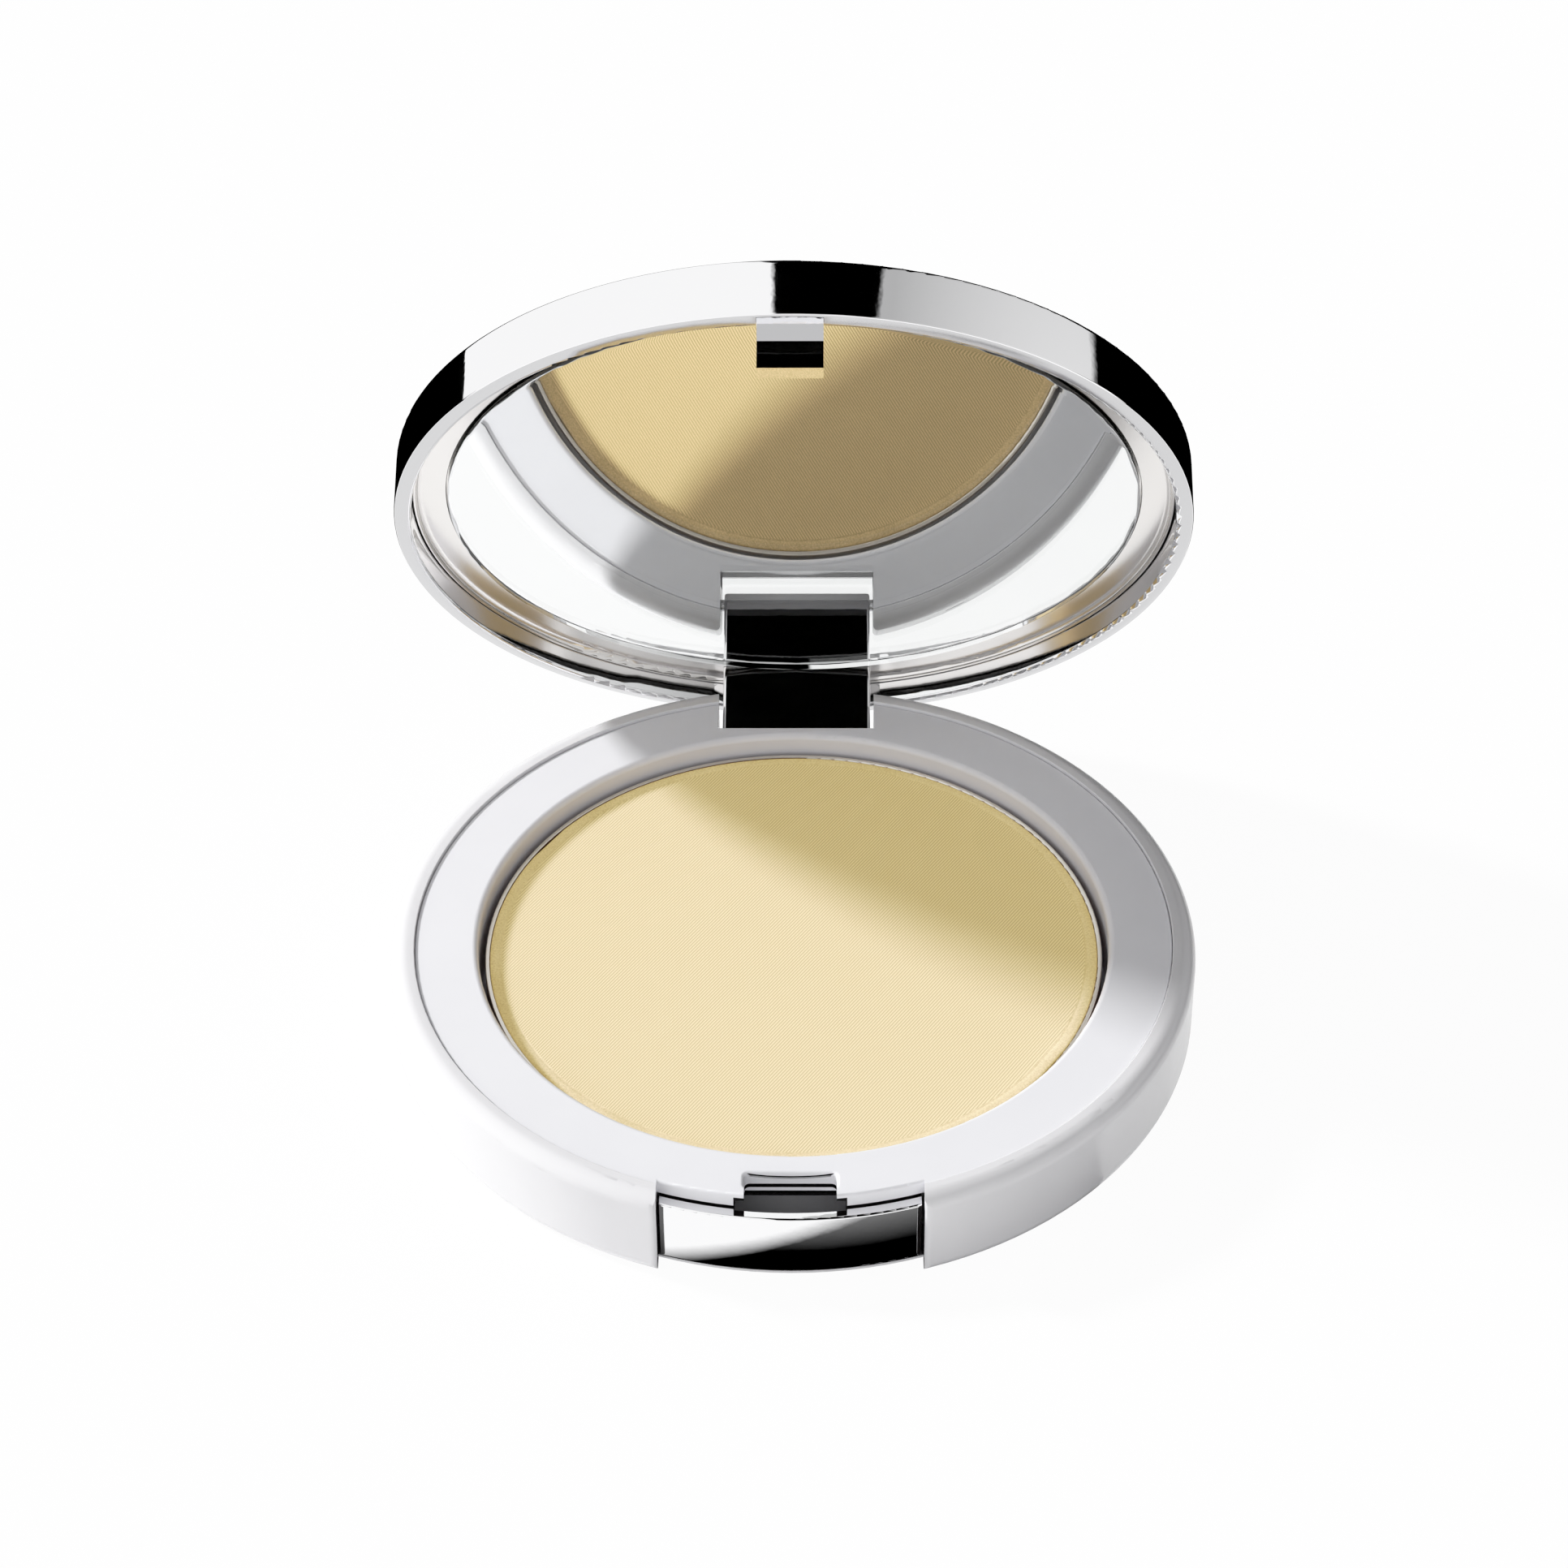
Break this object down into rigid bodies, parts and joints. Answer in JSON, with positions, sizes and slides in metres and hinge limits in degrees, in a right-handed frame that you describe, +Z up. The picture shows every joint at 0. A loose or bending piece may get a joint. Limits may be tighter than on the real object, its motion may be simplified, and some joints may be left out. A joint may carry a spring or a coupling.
{
  "type": "powder compact",
  "caption": "Round pressed-powder compact: white base with a metal pan, push-button latch, and a plated mirror lid on a rear hinge pin.",
  "frame": {"origin": "centre of the base's flat bottom face", "axes": "+Z up out of the bottom face, -Y towards the button, +Y towards the hinge, X along the hinge pin"},
  "size_m": [0.076, 0.0819, 0.0745],
  "materials": {
    "white_shell": "moulded, glossy white",
    "white_tray": "moulded, satin white",
    "label": "blank, silver-grey",
    "pan_metal": "satin",
    "powder": "pressed ivory powder, matte, fine diagonal twill",
    "adhesive": "matte",
    "plated_button": "bright plated",
    "plated_lid": "bright plated",
    "plated_frame": "satin plated",
    "spring_steel": "drawn wire",
    "mirror": "bevelled glass, silvered"
  },
  "bodies": {
    "base": {"base_shell": "white_shell", "inner_tray": "white_tray", "base_label": "label", "powder_pan": "pan_metal", "pressed_powder": "powder", "pan_adhesive": "adhesive", "button_springs": "spring_steel", "hinge_pin": "spring_steel"},
    "button": {"push_button": "plated_button"},
    "lid": {"lid_shell": "plated_lid", "mirror_frame": "plated_frame", "mirror": "mirror", "mirror_adhesive": "adhesive", "hinge_block": "plated_lid", "latch_hook": "plated_lid"}
  },
  "joints": [
    {"name": "lid_hinge", "type": "hinge", "parent": "base", "child": "lid", "pos_m": [0, 0.0342, 0.00466], "axis": [-1, 0, 0], "range_deg": [-65.5, 29.5]},
    {"name": "button_press", "type": "slide", "parent": "base", "child": "button", "axis": [0, 1, 0], "range_m": [0, 0.001], "stiffness_N_per_m": 800, "springref_m": -0.0005, "deforming": ["button_springs"]}
  ]
}
